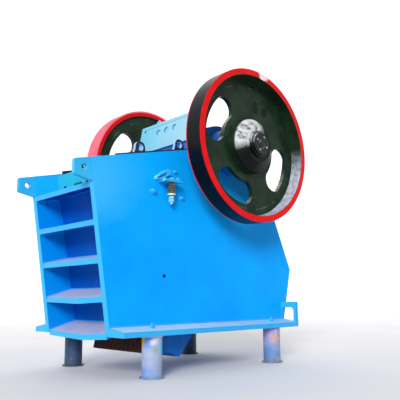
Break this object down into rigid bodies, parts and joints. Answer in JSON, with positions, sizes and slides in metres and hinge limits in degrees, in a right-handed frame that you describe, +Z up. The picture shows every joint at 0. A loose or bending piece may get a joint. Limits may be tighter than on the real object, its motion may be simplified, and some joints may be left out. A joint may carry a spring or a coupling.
{
  "type": "jaw crusher",
  "caption": "Jaw crusher with a welded, ribbed front frame, toothed crushing chamber, swing jaw on an eccentric shaft, large flywheels and a stand of pipe legs.",
  "frame": {"origin": "on the ground, under the middle of the machine's bounding box", "axes": "+X towards the flywheel side, along the shaft; -Y towards the ribbed front wall; +Z up"},
  "size_m": [2.6, 3.476, 3.6818],
  "materials": {
    "frame_paint": "azure gloss paint, dusty and worn at the edges",
    "guard_paint": "pale blue gloss paint",
    "pipe_paint": "thin blue and primer paint over steel pipe",
    "lining_steel": "rough cast manganese steel, brown",
    "wheel_black": "glossy greenish black paint with a red ring",
    "wheel_red": "red gloss paint",
    "spring_steel": "dark spring steel",
    "bright_steel": "bare turned steel"
  },
  "bodies": {
    "frame": {"side_plate_right": "frame_paint", "side_plate_left": "frame_paint", "front_wall": "frame_paint", "front_rib_1": "frame_paint", "front_rib_2": "frame_paint", "front_rib_3": "frame_paint", "front_rib_4": "frame_paint", "front_rib_5": "frame_paint", "lifting_lug_right": "frame_paint", "lifting_lug_left": "frame_paint", "base_flange_right": "frame_paint", "base_flange_left": "frame_paint", "rear_gusset_right": "frame_paint", "rear_gusset_left": "frame_paint", "rear_wall_lower": "frame_paint", "rear_wall_upper": "frame_paint", "rear_ribs": "frame_paint", "toggle_beam": "frame_paint", "leg_front_right": "pipe_paint", "leg_front_left": "pipe_paint", "leg_rear_right": "pipe_paint", "leg_rear_left": "pipe_paint", "bearing_housing_right": "frame_paint", "bearing_housing_left": "frame_paint", "fixed_jaw_die": "lining_steel", "cheek_plate_right": "lining_steel", "cheek_plate_left": "lining_steel", "cheek_bracket_right": "frame_paint", "cheek_bracket_left": "frame_paint", "cheek_spring_right": "spring_steel", "cheek_spring_left": "spring_steel", "cheek_bolt_right": "bright_steel", "cheek_bolt_left": "bright_steel", "toggle_plate": "frame_paint"},
    "flywheel_set": {"eccentric_shaft": "bright_steel", "flywheel": "wheel_black", "drive_wheel": "wheel_red", "hub_cap_right": "bright_steel", "hub_cap_left": "bright_steel"},
    "jaw": {"swing_jaw": "frame_paint", "moving_jaw_die": "lining_steel", "jaw_guard_plate": "guard_paint"}
  },
  "joints": [
    {"name": "flywheel_spin", "type": "hinge", "parent": "frame", "child": "flywheel_set", "pos_m": [0, 0.514, 2.707], "axis": [1, 0, 0], "continuous": true},
    {"name": "jaw_swing", "type": "hinge", "parent": "frame", "child": "jaw", "pos_m": [0, 0.514, 2.707], "axis": [-1, 0, 0], "range_deg": [0, 1.3]}
  ]
}
